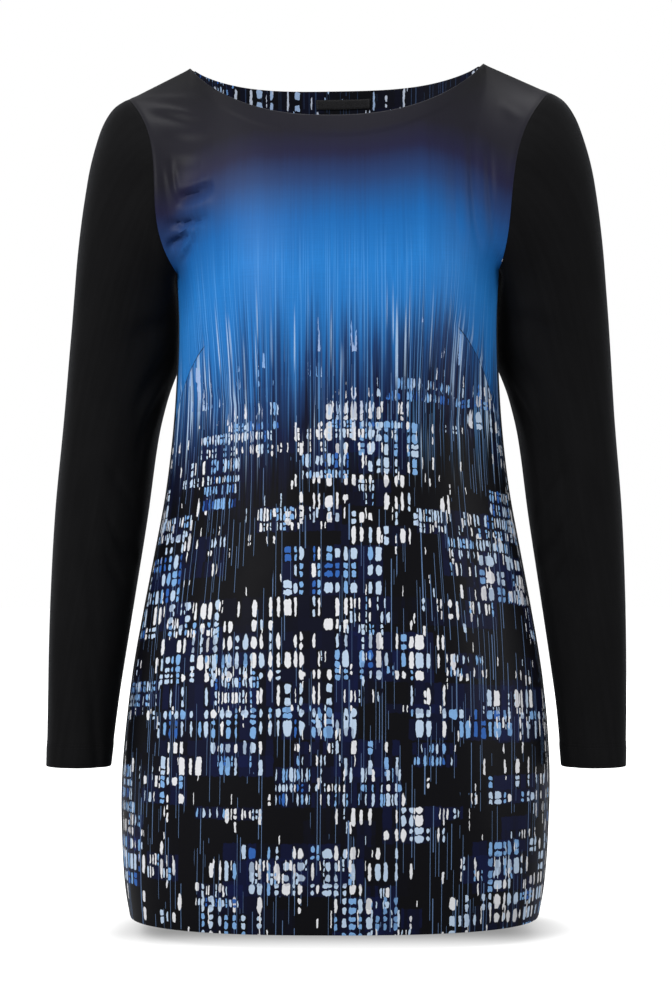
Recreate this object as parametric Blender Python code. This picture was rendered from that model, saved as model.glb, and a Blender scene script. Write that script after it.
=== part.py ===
"""A tunic blouse in the hollow form it has when it is worn: a printed woven front with two
bust darts, and a plain jersey back and sleeves. Metres, +Z up, the front towards -Y.
The origin is the middle of the neck opening, level with the two neck points."""

import math
from bisect import bisect_right
from collections import namedtuple

import bmesh
import bpy
import numpy as np

MM = 0.001  # the sizes below are in millimetres

# Cloth
WALL = 1.2
FACING_WALL = 1.0
LABEL_WALL = 0.8
SEAM_GAP = 0.3

# Neck opening, an oval seen from above, lower in front than behind
NeckHalf = namedtuple("NeckHalf", "drop reach squareness slope")
NECK_HALF_WIDTH = 137
NECK_POINT_Y = 5
FRONT_NECK = NeckHalf(drop=56, reach=-67, squareness=2.4, slope=0.8)
BACK_NECK = NeckHalf(drop=15, reach=53, squareness=3.1, slope=1)

# Shoulders and armholes
SHOULDER_HALF_WIDTH = 196
SHOULDER_DROP = 28.5
SHOULDER_Y = 2
UNDERARM_DROP = 194
ArmholeHalf = namedtuple("ArmholeHalf", "reach hollow set_in")
FRONT_ARMHOLE_LEFT = ArmholeHalf(reach=-50, hollow=21, set_in=4)
FRONT_ARMHOLE_RIGHT = ArmholeHalf(reach=-50, hollow=13, set_in=13)
BACK_ARMHOLE = ArmholeHalf(reach=54, hollow=8, set_in=1)

# Body, in level sections that are half an oval in front and half an oval behind
HEM_DROP = 787
SEAM_ANGLE = math.radians(80.5)  # the side seam, from the centre front round the section
UNDERARM_SQUARENESS = 2.1
HEM_SQUARENESS = 2.6
Width = namedtuple("Width", "drop half")
WIDTHS = [
    Width(193, 150.5),
    Width(240, 148.6),
    Width(293, 149.7),
    Width(346, 153.4),
    Width(400, 160.0),
    Width(453, 169.5),
    Width(498, 178.0),
    Width(539, 185.6),
    Width(580, 191.7),
    Width(622, 195.9),
    Width(664, 198.1),
    Width(705, 197.5),
    Width(747, 195.2),
    Width(770, 192.6),
    Width(787, 189.2),
]
Depth = namedtuple("Depth", "drop front back")
DEPTHS = [
    Depth(15, 45, 58),
    Depth(56, 62, 69),
    Depth(110, 81, 79),
    Depth(193, 100, 87),
    Depth(240, 110, 86),
    Depth(293, 111, 84),
    Depth(346, 112, 85),
    Depth(400, 114, 91),
    Depth(453, 118, 98),
    Depth(539, 126, 111),
    Depth(622, 132, 121),
    Depth(705, 135, 125),
    Depth(787, 132, 121),
]

# Fullness that the bust darts give
FULLNESS = 9
FULLNESS_HALF_WIDTH = 85
FULLNESS_DROP = 240
FULLNESS_SPREAD = 38
FULLNESS_LENGTH = 55

# Sleeves, in rings from the armhole (part 0) to the cuff (part 1): the outer and the inner point
# of each ring, and half its depth from front to back
Ring = namedtuple("Ring", "part outer_x outer_y outer_drop inner_x inner_y inner_drop half_depth")
SLEEVE = [
    Ring(0.00, 196.0, 2, 28.5, 147.0, -16, 194, 51),
    Ring(0.05, 212.0, 2, 40, 150.0, -12, 200, 52),
    Ring(0.13, 228.3, 4, 76, 150.4, 0, 214, 54),
    Ring(0.25, 242.3, 8, 150, 149.6, 17, 240, 54),
    Ring(0.37, 250.2, 12, 235, 151.8, 23, 277, 52),
    Ring(0.50, 257.2, 12, 330, 167.2, 19, 340, 49),
    Ring(0.64, 264.2, 7, 417, 178.0, 10, 422, 45),
    Ring(0.78, 267.3, -2, 508, 190.8, -2, 510, 38.5),
    Ring(0.90, 267.4, -13, 590, 202.2, -13, 592, 32),
    Ring(1.00, 266.8, -20, 649.5, 207.8, -20, 649.5, 27.5),
]
ARMHOLE_SHAPE_ENDS = 0.3  # the part of the sleeve where the armhole's own curve has died out

# How the blouse hangs: a little higher at its +X shoulder, both sleeves swayed and the hem
# shifted a little sideways
SHOULDER_TILT = 0.0165
TILT_DROPS = (110, 420)
SWAY_FROM = 100
SWAY_WIDTH = 100
Hang = namedtuple("Hang", "drop sway shift")
HANGS = [
    Hang(20, 2.4, 0),
    Hang(110, 4, 0),
    Hang(240, 4, 0),
    Hang(330, 3, 0),
    Hang(600, 1, 0),
    Hang(700, 0, -0.8),
    Hang(787, 0, -1.6),
]

# Facing and label inside the back neck
FACING_ROWS = 3
FACING_STOPS_SHORT = 1  # columns before each neck point
LABEL_CENTRE = 7
LABEL_WIDTH = 54
LABEL_TOP = 8.5
LABEL_HEIGHT = 10

# Cells across and down the pieces
NECK_COLUMNS = 9
SHOULDER_COLUMNS = 4
ARMHOLE_ROWS = 10
BODY_ROWS = 22
SLEEVE_ROWS = 24
ROWS_UNDER_ARMHOLE = 2  # rows below the underarm that still belong to the smooth yoke
ROWS_LED_INTO = 2  # level rows that the yoke runs smoothly into
TWIST = 1.4  # how much the least bending counts a twisted cell against a bent line

PRINT_BLUE = (0.03, 0.07, 0.22)
JERSEY_BLACK = (0.006, 0.006, 0.007)
LABEL_BLACK = (0.012, 0.012, 0.014)


def remove_everything():
    for thing in list(bpy.data.objects):
        bpy.data.objects.remove(thing)


def along(rows, column, place):
    """A column of a table at a place between its rows, on a smooth curve through them."""
    places = [row[0] for row in rows]
    values = [getattr(row, column) for row in rows]
    slopes = np.gradient(values, places)
    k = min(max(bisect_right(places, place) - 1, 0), len(rows) - 2)
    span = places[k + 1] - places[k]
    t = (place - places[k]) / span
    start = (1 + 2 * t) * values[k] + t * span * slopes[k]
    end = (3 - 2 * t) * values[k + 1] + (t - 1) * span * slopes[k + 1]
    return (1 - t) ** 2 * start + t**2 * end


def ease(share):
    share = np.clip(share, 0, 1)
    return share * share * (3 - 2 * share)


def body_point(drop, angle):
    """A point of the body section at this drop; angle 0 is the centre front, pi the back."""
    down = (drop - UNDERARM_DROP) / (HEM_DROP - UNDERARM_DROP)
    power = 2 / (UNDERARM_SQUARENESS + down * (HEM_SQUARENESS - UNDERARM_SQUARENESS))
    side = "front" if angle < math.pi / 2 else "back"
    x = along(WIDTHS, "half", drop) * math.sin(angle) ** power
    y = along(DEPTHS, side, drop) * abs(math.cos(angle)) ** power
    return np.array([x, -y if side == "front" else y, -drop])


def seam_point(drop):
    return body_point(drop, SEAM_ANGLE)


def seam_inward(drop):
    """The level direction into the body at the side seam, shared by front and back."""
    step = 0.02
    run = body_point(drop, SEAM_ANGLE + step) - body_point(drop, SEAM_ANGLE - step)
    return np.array([-run[1], run[0], 0]) / np.linalg.norm(run)


def shoulder_point():
    return np.array([SHOULDER_HALF_WIDTH, SHOULDER_Y, -SHOULDER_DROP])


def neck_point():
    return np.array([NECK_HALF_WIDTH, NECK_POINT_Y, 0])


def shoulder_inward():
    """The direction into the garment that front and back share along the shoulder seam."""
    run = shoulder_point() - neck_point()
    down = np.array([run[2], 0, -run[0]])
    return down / np.linalg.norm(down)


def neck_edge(neck, share):
    """A point of the neck edge, from the centre (share 0) to the neck point (share 1)."""
    across = math.sin(share * math.pi / 2)
    open_part = max(1 - across**neck.squareness, 0)
    y = NECK_POINT_Y + neck.reach * math.sqrt(open_part)
    z = -neck.drop * open_part**neck.slope
    return np.array([NECK_HALF_WIDTH * across, y, z])


def top_edge(neck):
    """Neck edge and shoulder seam of half a panel, from the centre to the shoulder point."""
    points = [neck_edge(neck, i / NECK_COLUMNS) for i in range(NECK_COLUMNS + 1)]
    for i in range(1, SHOULDER_COLUMNS + 1):
        share = i / SHOULDER_COLUMNS
        points.append((1 - share) * neck_point() + share * shoulder_point())
    return np.array(points)


def armhole_point(armhole, turn):
    """A point of the armhole, from the shoulder (turn 0) to the underarm (turn pi)."""
    share = (1 - math.cos(turn)) / 2
    point = (1 - share) * shoulder_point() + share * seam_point(UNDERARM_DROP)
    point[0] -= (armhole.hollow * math.cos(turn) + armhole.set_in) * math.sin(turn) ** 2
    point[1] += armhole.reach * math.sin(turn)
    return point


def armhole_inward(turn, toward_back):
    """The direction through the cloth that a panel and the sleeve share at their seam, and how
    far each keeps to it: not at all at the underarm, where they lie back to back."""
    shared = max(math.cos(turn), 0) * shoulder_inward()
    shared[1] -= toward_back * math.sin(turn)
    hold = min(12 * (1 + math.cos(turn)), 1)
    return shared / np.linalg.norm(shared), hold


def joined(own, shared, hold):
    """A direction between a piece's own and the one that it shares at a seam."""
    mixed = (1 - hold) * own + hold * shared
    return mixed / np.linalg.norm(mixed)


def level_row(drop, centre_angle):
    """Half a row of a panel, from its centre to the side seam."""
    columns = NECK_COLUMNS + SHOULDER_COLUMNS
    shares = [i / columns for i in range(columns + 1)]
    angles = [centre_angle + share * (SEAM_ANGLE - centre_angle) for share in shares]
    return np.array([body_point(drop, angle) for angle in angles])


def least_bending(grid, fixed):
    """Moves the points of a grid that aren't fixed to where the sheet bends least."""
    rows, columns = grid.shape[:2]
    place = np.arange(rows * columns).reshape(rows, columns)
    bends = []
    for lines in (place, place.T):
        for line in lines:
            bends += [((a, 1), (b, -2), (c, 1)) for a, b, c in zip(line, line[1:], line[2:])]
    for i in range(rows - 1):
        for j in range(columns - 1):
            a, b, c, d = place[i : i + 2, j : j + 2].ravel()
            bends.append(((a, TWIST), (b, -TWIST), (c, -TWIST), (d, TWIST)))
    weights = np.zeros((len(bends), rows * columns))
    for k, bend in enumerate(bends):
        for point, weight in bend:
            weights[k, point] = weight
    free = ~fixed.ravel()
    points = grid.reshape(-1, 3).copy()
    pull = -weights[:, ~free] @ points[~free]
    points[free] = np.linalg.lstsq(weights[:, free], pull, rcond=None)[0]
    return points.reshape(grid.shape)


def flipped(grid):
    """A grid of points or directions seen from the other side, as in a mirror."""
    return grid[:, ::-1] * np.array([-1, 1, 1])


def whole_panel(neck, armholes, centre_angle):
    """The outer points of a panel: level rows below the underarm, and above it the smoothest
    sheet between its neck edge, shoulder seams and armholes (first the one at +X)."""
    top = top_edge(neck)
    rows = [top] + [np.zeros_like(top)] * (ARMHOLE_ROWS - 1)
    for i in range(BODY_ROWS + 1):
        drop = UNDERARM_DROP + i / BODY_ROWS * (HEM_DROP - UNDERARM_DROP)
        rows.append(level_row(drop, centre_angle))
    rows = np.array(rows)
    grid = np.concatenate([flipped(rows)[:, :-1], rows], axis=1)
    for armhole in armholes:
        for i in range(1, ARMHOLE_ROWS):
            grid[i, -1] = armhole_point(armhole, i / ARMHOLE_ROWS * math.pi)
        grid = flipped(grid)
    fixed = np.ones(grid.shape[:2], bool)
    yoke_rows = ARMHOLE_ROWS + ROWS_UNDER_ARMHOLE
    fixed[1:yoke_rows, 1:-1] = False
    yoke = slice(0, yoke_rows + ROWS_LED_INTO)
    grid[yoke] = least_bending(grid[yoke], fixed[yoke])
    return grid


def fullness(grid):
    """How far forward the bust darts let each point of the front come."""
    x, drop = abs(grid[..., 0]), -grid[..., 2]
    edge = abs(grid[:, -1:, 0])
    across = (x - FULLNESS_HALF_WIDTH) / FULLNESS_SPREAD
    down = (drop - FULLNESS_DROP) / FULLNESS_LENGTH
    inside = np.sqrt(np.clip(1 - (x / edge) ** 2, 0, 1))
    return FULLNESS * np.exp(-(across**2 + down**2) / 2) * inside


def grid_inward(grid, closed):
    """Unit directions through the cloth at each point of a grid, towards its inner side."""
    if closed:
        across = np.roll(grid, -1, axis=1) - np.roll(grid, 1, axis=1)
    else:
        across = np.gradient(grid, axis=1)
    down = np.gradient(grid, axis=0)
    normal = np.cross(across, down)
    return normal / np.linalg.norm(normal, axis=2, keepdims=True)


def panel_grids(neck, armholes, side, centre_angle):
    """The outer points of a panel and the directions through its cloth."""
    forward = -1 if side == "front" else 1
    grid = whole_panel(neck, armholes, centre_angle)
    if side == "front":
        grid[..., 1] -= fullness(grid)
    through = -forward * grid_inward(grid, closed=False)
    shoulder = slice(-1 - SHOULDER_COLUMNS, None)
    gap = SEAM_GAP / 2
    for _ in armholes:
        through[0, shoulder] = shoulder_inward()
        for row in range(ARMHOLE_ROWS):
            shared = armhole_inward(row / ARMHOLE_ROWS * math.pi, forward)
            through[row, -1] = joined(through[row, -1], *shared)
        for row in range(ARMHOLE_ROWS, len(grid)):
            through[row, -1] = seam_inward(-grid[row, -1, 2])
        grid[0, shoulder, 1] += forward * gap
        grid[: ARMHOLE_ROWS + 1, -1, 0] -= gap
        grid[ARMHOLE_ROWS:, -1, 1] += forward * gap
        grid, through = flipped(grid), flipped(through)
    return grid, through


def sleeve_grids(front_armhole):
    """The outer points of a sleeve at +X and the directions through its cloth, in rings from
    the armhole to the cuff. Each ring starts at its outer point and runs round by the front."""
    turns = [i * math.pi / ARMHOLE_ROWS for i in range(2 * ARMHOLE_ROWS)]
    first = []
    for turn in turns:
        if turn <= math.pi:
            first.append(armhole_point(front_armhole, turn))
        else:
            first.append(armhole_point(BACK_ARMHOLE, 2 * math.pi - turn))
    first = np.array(first) + [SEAM_GAP / 2, 0, 0]
    bend = first - sleeve_ring(0, turns)
    rings = []
    for i in range(SLEEVE_ROWS + 1):
        part = i / SLEEVE_ROWS
        fade = max(1 - part / ARMHOLE_SHAPE_ENDS, 0) ** 2
        rings.append(sleeve_ring(part, turns) + fade * bend)
    rings = np.array(rings)
    through = -grid_inward(rings, closed=True)
    for j, turn in enumerate(turns):
        toward_back = -1 if turn <= math.pi else 1
        shared = armhole_inward(min(turn, 2 * math.pi - turn), toward_back)
        through[0, j] = joined(through[0, j], *shared)
    return rings, through


def sleeve_ring(part, turns):
    ends = {}
    for end in ("outer", "inner"):
        x, y, drop = (along(SLEEVE, f"{end}_{name}", part) for name in ("x", "y", "drop"))
        ends[end] = np.array([x, y, -drop])
    half_depth = along(SLEEVE, "half_depth", part)
    points = []
    for turn in turns:
        share = (1 - math.cos(turn)) / 2
        point = (1 - share) * ends["outer"] + share * ends["inner"]
        point[1] -= half_depth * math.sin(turn)
        points.append(point)
    return np.array(points)


def cloth_material(name, colour, roughness):
    material = bpy.data.materials.new(name)
    material.use_nodes = True
    shader = material.node_tree.nodes["Principled BSDF"]
    shader.inputs["Base Color"].default_value = (*colour, 1)
    shader.inputs["Roughness"].default_value = roughness
    shader.inputs["Metallic"].default_value = 0
    return material


def as_it_hangs(points):
    """Tilts, sways and shifts the even form to how the blouse hangs."""
    x, drop = points[..., 0], -points[..., 2]
    start, end = TILT_DROPS
    tilt = SHOULDER_TILT * (1 - ease((drop - start) / (end - start)))
    drops = [row.drop for row in HANGS]
    sway = np.interp(drop, drops, [row.sway for row in HANGS])
    shift = np.interp(drop, drops, [row.shift for row in HANGS])
    aside = sway * ease((abs(x) - SWAY_FROM) / SWAY_WIDTH) + shift
    return points + np.stack([aside, 0 * x, tilt * x], axis=-1)


def cloth_wall(name, outer, inner, closed, material):
    """A solid between two grids of points; a closed one joins its last column to its first."""
    rows, columns = outer.shape[:2]
    mesh = bmesh.new()
    skins = []
    for grid in (as_it_hangs(outer), as_it_hangs(inner)):
        skins.append([[mesh.verts.new(point * MM) for point in row] for row in grid])
    joins = columns if closed else columns - 1
    for skin in skins:
        for i in range(rows - 1):
            for j in range(joins):
                k = (j + 1) % columns
                mesh.faces.new([skin[i][j], skin[i][k], skin[i + 1][k], skin[i + 1][j]])
    for i in (0, rows - 1):
        for j in range(joins):
            k = (j + 1) % columns
            mesh.faces.new([skins[0][i][j], skins[0][i][k], skins[1][i][k], skins[1][i][j]])
    if not closed:
        for j in (0, columns - 1):
            for i in range(rows - 1):
                ends = [skins[0][i][j], skins[0][i + 1][j], skins[1][i + 1][j], skins[1][i][j]]
                mesh.faces.new(ends)
    bmesh.ops.recalc_face_normals(mesh, faces=mesh.faces)
    data = bpy.data.meshes.new(name)
    mesh.to_mesh(data)
    mesh.free()
    data.shade_smooth()
    data.set_sharp_from_angle(angle=math.radians(50))
    data.materials.append(material)
    thing = bpy.data.objects.new(name, data)
    bpy.context.collection.objects.link(thing)
    return thing


def build_panel(name, grids, material):
    outer, inward = grids
    cloth_wall(name, outer, outer + WALL * inward, False, material)


def build_sleeve(name, front_armhole, at_right, material):
    outer, through = sleeve_grids(front_armhole)
    inner = outer + WALL * through
    if not at_right:
        outer, inner = flipped(outer), flipped(inner)
    cloth_wall(name, outer, inner, True, material)


def between(grid, row, column):
    """The value of a grid at a place between its rows and columns."""
    i, j = int(row), int(column)
    down, across = row - i, column - j
    upper = (1 - across) * grid[i, j] + across * grid[i, j + 1]
    lower = (1 - across) * grid[i + 1, j] + across * grid[i + 1, j + 1]
    return (1 - down) * upper + down * lower


def build_facing(back, material):
    """The facing lies inside the back panel, made from the panel's own points."""
    outer, inward = back
    middle = NECK_COLUMNS + SHOULDER_COLUMNS
    reach = NECK_COLUMNS - FACING_STOPS_SHORT
    rows = slice(0, FACING_ROWS + 1)
    columns = slice(middle - reach, middle + reach + 1)
    through = inward[rows, columns]
    near = outer[rows, columns] + (WALL + SEAM_GAP) * through
    cloth_wall("back_neck_facing", near, near + FACING_WALL * through, False, material)


def build_label(back, material):
    """A small woven label on the facing, just under the neck edge and a little to one side."""
    middle = NECK_COLUMNS + SHOULDER_COLUMNS
    row_drop = (UNDERARM_DROP - BACK_NECK.drop) / ARMHOLE_ROWS
    column_width = back[0][0, middle + 1, 0]
    near = []
    through = []
    for down in (LABEL_TOP, LABEL_TOP + LABEL_HEIGHT):
        for across in (-LABEL_WIDTH / 2, 0, LABEL_WIDTH / 2):
            row, column = down / row_drop, middle + (LABEL_CENTRE + across) / column_width
            place, lean = (between(grid, row, column) for grid in back)
            near.append(place)
            through.append(lean / np.linalg.norm(lean))
    near = np.array(near).reshape(2, 3, 3)
    through = np.array(through).reshape(2, 3, 3)
    near = near + (WALL + SEAM_GAP + FACING_WALL + SEAM_GAP) * through
    cloth_wall("neck_label", near, near + LABEL_WALL * through, False, material)


def main():
    remove_everything()
    satin = cloth_material("printed_satin", PRINT_BLUE, 0.4)
    jersey = cloth_material("black_jersey", JERSEY_BLACK, 0.9)
    facing = cloth_material("printed_facing", PRINT_BLUE, 0.5)
    label = cloth_material("bare_label", LABEL_BLACK, 0.7)
    front_armholes = (FRONT_ARMHOLE_RIGHT, FRONT_ARMHOLE_LEFT)
    back_armholes = (BACK_ARMHOLE, BACK_ARMHOLE)
    front = panel_grids(FRONT_NECK, front_armholes, "front", 0)
    back = panel_grids(BACK_NECK, back_armholes, "back", math.pi)
    build_panel("front_panel", front, satin)
    build_panel("back_panel", back, jersey)
    build_sleeve("sleeve_right", FRONT_ARMHOLE_RIGHT, True, jersey)
    build_sleeve("sleeve_left", FRONT_ARMHOLE_LEFT, False, jersey)
    build_facing(back, facing)
    build_label(back, label)


main()
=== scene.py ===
import math
from bisect import bisect_right

import bpy
import numpy as np
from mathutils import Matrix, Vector


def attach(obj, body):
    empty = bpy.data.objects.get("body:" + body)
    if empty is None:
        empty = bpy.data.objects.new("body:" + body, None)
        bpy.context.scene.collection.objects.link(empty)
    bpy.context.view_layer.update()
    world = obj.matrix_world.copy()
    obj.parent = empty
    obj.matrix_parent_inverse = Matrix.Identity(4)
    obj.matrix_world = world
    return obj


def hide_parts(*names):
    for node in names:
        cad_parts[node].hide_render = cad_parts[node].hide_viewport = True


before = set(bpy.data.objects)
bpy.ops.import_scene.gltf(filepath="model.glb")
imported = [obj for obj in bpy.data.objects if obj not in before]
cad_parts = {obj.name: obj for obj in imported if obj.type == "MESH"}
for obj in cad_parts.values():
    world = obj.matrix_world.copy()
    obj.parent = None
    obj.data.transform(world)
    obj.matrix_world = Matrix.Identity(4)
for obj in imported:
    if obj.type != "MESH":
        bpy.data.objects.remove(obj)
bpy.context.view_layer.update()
print("frame loaded")

mm = 0.001

# the cut, in mm, in the form that the solids have
cut = {
    "wall": 1.2, "facingWall": 1.0, "labelWall": 0.8, "seamGap": 0.08,
    "neckHalfWidth": 137, "neckPointY": 5,
    "shoulderHalfWidth": 196, "shoulderDrop": 28.5, "shoulderY": 2,
    "underarmDrop": 194, "hemDrop": 787, "seamAngle": math.radians(80.5),
    "underarmSquareness": 2.1, "hemSquareness": 2.6,
    "neckColumns": 9, "shoulderColumns": 4, "armholeRows": 10, "bodyRows": 22,
    "sleeveRows": 24, "rowsUnderArmhole": 2, "rowsLedInto": 2, "twist": 1.4,
    "armholeShapeEnds": 0.3,
}
frontNeck = {"drop": 56, "reach": -67, "squareness": 2.4, "slope": 0.8}
backNeck = {"drop": 15, "reach": 53, "squareness": 3.1, "slope": 1.0}
armholes = {
    "frontLeft": {"reach": -50, "hollow": 21, "setIn": 4},
    "frontRight": {"reach": -50, "hollow": 13, "setIn": 13},
    "back": {"reach": 54, "hollow": 8, "setIn": 1},
}
bodyWidths = {
    "drop": [193, 240, 293, 346, 400, 453, 498, 539, 580, 622, 664, 705, 747, 770, 787],
    "half": [150.5, 148.6, 149.7, 153.4, 160, 169.5, 178, 185.6, 191.7, 195.9, 198.1, 197.5,
             195.2, 192.6, 189.2],
}
bodyDepths = {
    "drop": [15, 56, 110, 193, 240, 293, 346, 400, 453, 539, 622, 705, 787],
    "front": [45, 62, 81, 100, 110, 111, 112, 114, 118, 126, 132, 135, 132],
    "back": [58, 69, 79, 87, 86, 84, 85, 91, 98, 111, 121, 125, 121],
}
fullness = {"forward": 9, "halfWidth": 85, "drop": 240, "spread": 38, "length": 55}
sleeveRings = {
    "part": [0, 0.05, 0.13, 0.25, 0.37, 0.5, 0.64, 0.78, 0.9, 1],
    "outerX": [196, 212, 228.3, 242.3, 250.2, 257.2, 264.2, 267.3, 267.4, 266.8],
    "outerY": [2, 2, 4, 8, 12, 12, 7, -2, -13, -20],
    "outerDrop": [28.5, 40, 76, 150, 235, 330, 417, 508, 590, 649.5],
    "innerX": [147, 150, 150.4, 149.6, 151.8, 167.2, 178, 190.8, 202.2, 207.8],
    "innerY": [-16, -12, 0, 17, 23, 19, 10, -2, -13, -20],
    "innerDrop": [194, 200, 214, 240, 277, 340, 422, 510, 592, 649.5],
    "halfDepth": [51, 52, 54, 54, 52, 49, 45, 38.5, 32, 27.5],
}
hanging = {
    "tilt": 0.0165, "tiltStart": 110, "tiltEnd": 420, "swayFrom": 100, "swayWidth": 100,
    "drop": [20, 110, 240, 330, 600, 700, 787],
    "sway": [2.4, 4, 4, 3, 1, 0, 0],
    "shift": [0, 0, 0, 0, 0, -0.8, -1.6],
}


def along(table, key, column, place):
    # the smooth curve through a table's column, read at a place
    places, values = table[key], table[column]
    slopes = np.gradient(values, places)
    k = min(max(bisect_right(places, place) - 1, 0), len(places) - 2)
    span = places[k + 1] - places[k]
    t = (place - places[k]) / span
    start = (1 + 2 * t) * values[k] + t * span * slopes[k]
    end = (3 - 2 * t) * values[k + 1] + (t - 1) * span * slopes[k + 1]
    return (1 - t) ** 2 * start + t**2 * end


def ease(share):
    share = np.clip(share, 0, 1)
    return share * share * (3 - 2 * share)


def unit(vectors):
    return vectors / np.linalg.norm(vectors, axis=-1, keepdims=True)


def bodyPoint(drop, angle):
    down = (drop - cut["underarmDrop"]) / (cut["hemDrop"] - cut["underarmDrop"])
    squareness = (1 - down) * cut["underarmSquareness"] + down * cut["hemSquareness"]
    side = "front" if angle < math.pi / 2 else "back"
    x = along(bodyWidths, "drop", "half", drop) * math.sin(angle) ** (2 / squareness)
    y = along(bodyDepths, "drop", side, drop) * abs(math.cos(angle)) ** (2 / squareness)
    return np.array([x, -y if side == "front" else y, -drop])


def seamInward(drop):
    run = bodyPoint(drop, cut["seamAngle"] + 0.02) - bodyPoint(drop, cut["seamAngle"] - 0.02)
    return unit(np.array([-run[1], run[0], 0]))


shoulderPoint = np.array([cut["shoulderHalfWidth"], cut["shoulderY"], -cut["shoulderDrop"]])
neckPoint = np.array([cut["neckHalfWidth"], cut["neckPointY"], 0])
shoulderRun = shoulderPoint - neckPoint
shoulderInward = unit(np.array([shoulderRun[2], 0, -shoulderRun[0]]))


def neckEdge(neck, share):
    across = math.sin(share * math.pi / 2)
    openPart = max(1 - across ** neck["squareness"], 0)
    y = cut["neckPointY"] + neck["reach"] * math.sqrt(openPart)
    return np.array([cut["neckHalfWidth"] * across, y, -neck["drop"] * openPart ** neck["slope"]])


def topEdge(neck, place):
    if place <= cut["neckColumns"]:
        return neckEdge(neck, place / cut["neckColumns"])
    share = (place - cut["neckColumns"]) / cut["shoulderColumns"]
    return (1 - share) * neckPoint + share * shoulderPoint


def armholePoint(armhole, turn):
    share = (1 - math.cos(turn)) / 2
    point = (1 - share) * shoulderPoint + share * bodyPoint(cut["underarmDrop"], cut["seamAngle"])
    point[0] -= (armhole["hollow"] * math.cos(turn) + armhole["setIn"]) * math.sin(turn) ** 2
    point[1] += armhole["reach"] * math.sin(turn)
    return point


def sidePoint(armhole, place):
    # the panel's side edge: armhole first, then side seam
    rows = cut["armholeRows"]
    if place <= rows:
        return armholePoint(armhole, place / rows * math.pi)
    share = (place - rows) / cut["bodyRows"]
    drop = cut["underarmDrop"] + share * (cut["hemDrop"] - cut["underarmDrop"])
    return bodyPoint(drop, cut["seamAngle"])


def joined(own, turn, towardBack):
    # at the armhole both pieces of cloth lean the same way
    shared = max(math.cos(turn), 0) * shoulderInward
    shared = shared - np.array([0, towardBack * math.sin(turn), 0])
    hold = min(12 * (1 + math.cos(turn)), 1)
    return unit((1 - hold) * own + hold * unit(shared))


def flipped(grid):
    # left and right swapped
    return grid[:, ::-1] * np.array([-1, 1, 1])


def leastBending(grid, fixed):
    # moves the free points to where the grid bends and twists least
    rows, columns = grid.shape[:2]
    place = np.arange(rows * columns).reshape(rows, columns)
    bends = []
    for lines in (place, place.T):
        for line in lines:
            bends += [((a, 1), (b, -2), (c, 1)) for a, b, c in zip(line, line[1:], line[2:])]
    twist = cut["twist"]
    for i in range(rows - 1):
        for j in range(columns - 1):
            a, b, c, d = place[i:i + 2, j:j + 2].ravel()
            bends.append(((a, twist), (b, -twist), (c, -twist), (d, twist)))
    weights = np.zeros((len(bends), rows * columns))
    for k, bend in enumerate(bends):
        for point, weight in bend:
            weights[k, point] = weight
    free = ~fixed.ravel()
    points = grid.reshape(-1, 3).copy()
    pull = -weights[:, ~free] @ points[~free]
    points[free] = np.linalg.lstsq(weights[:, free], pull, rcond=None)[0]
    return points.reshape(grid.shape)


def coarsePanel(neck, sideArmholes, isFront):
    # sideArmholes: the one at +X first
    columns = cut["neckColumns"] + cut["shoulderColumns"]
    centreAngle = 0 if isFront else math.pi
    forward = -1 if isFront else 1
    top = np.array([topEdge(neck, j) for j in range(columns + 1)])
    rows = [top] + [np.zeros_like(top)] * (cut["armholeRows"] - 1)
    for i in range(cut["bodyRows"] + 1):
        drop = cut["underarmDrop"] + i / cut["bodyRows"] * (cut["hemDrop"] - cut["underarmDrop"])
        angles = np.linspace(centreAngle, cut["seamAngle"], columns + 1)
        rows.append(np.array([bodyPoint(drop, angle) for angle in angles]))
    rows = np.array(rows)
    grid = np.concatenate([flipped(rows)[:, :-1], rows], axis=1)
    for armhole in sideArmholes:
        for i in range(1, cut["armholeRows"]):
            grid[i, -1] = armholePoint(armhole, i / cut["armholeRows"] * math.pi)
        grid = flipped(grid)
    fixed = np.ones(grid.shape[:2], bool)
    yokeRows = cut["armholeRows"] + cut["rowsUnderArmhole"]
    fixed[1:yokeRows, 1:-1] = False
    yoke = slice(0, yokeRows + cut["rowsLedInto"])
    grid[yoke] = leastBending(grid[yoke], fixed[yoke])
    if isFront:
        x, drop = abs(grid[..., 0]), -grid[..., 2]
        across = (x - fullness["halfWidth"]) / fullness["spread"]
        down = (drop - fullness["drop"]) / fullness["length"]
        inside = np.sqrt(np.clip(1 - (x / abs(grid[:, -1:, 0])) ** 2, 0, 1))
        grid[..., 1] -= fullness["forward"] * np.exp(-(across**2 + down**2) / 2) * inside
    through = -forward * unit(np.cross(np.gradient(grid, axis=1), np.gradient(grid, axis=0)))
    gap = cut["seamGap"] / 2
    shoulder = slice(-1 - cut["shoulderColumns"], None)
    for _ in sideArmholes:
        through[0, shoulder] = shoulderInward
        for i in range(cut["armholeRows"]):
            through[i, -1] = joined(through[i, -1], i / cut["armholeRows"] * math.pi, forward)
        for i in range(cut["armholeRows"], len(grid)):
            through[i, -1] = seamInward(-grid[i, -1, 2])
        grid, through = flipped(grid), flipped(through)
    edgeMoves = np.zeros_like(grid)
    edgeMoves[0, shoulder, 1] = edgeMoves[0, :cut["shoulderColumns"] + 1, 1] = forward * gap
    armholeEdge = slice(0, cut["armholeRows"] + 1)
    edgeMoves[armholeEdge, -1, 0], edgeMoves[armholeEdge, 0, 0] = -gap, gap
    edgeMoves[cut["armholeRows"]:, -1, 1] = edgeMoves[cut["armholeRows"]:, 0, 1] = forward * gap
    return grid, through, edgeMoves


def sleeveTop(frontArmhole, turns):
    # the sleeve's first ring, which follows the front armhole and then the back one
    points = [armholePoint(frontArmhole, turn) if turn <= math.pi
              else armholePoint(armholes["back"], 2 * math.pi - turn) for turn in turns]
    return np.array(points) + [cut["seamGap"] / 2, 0, 0]


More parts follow.
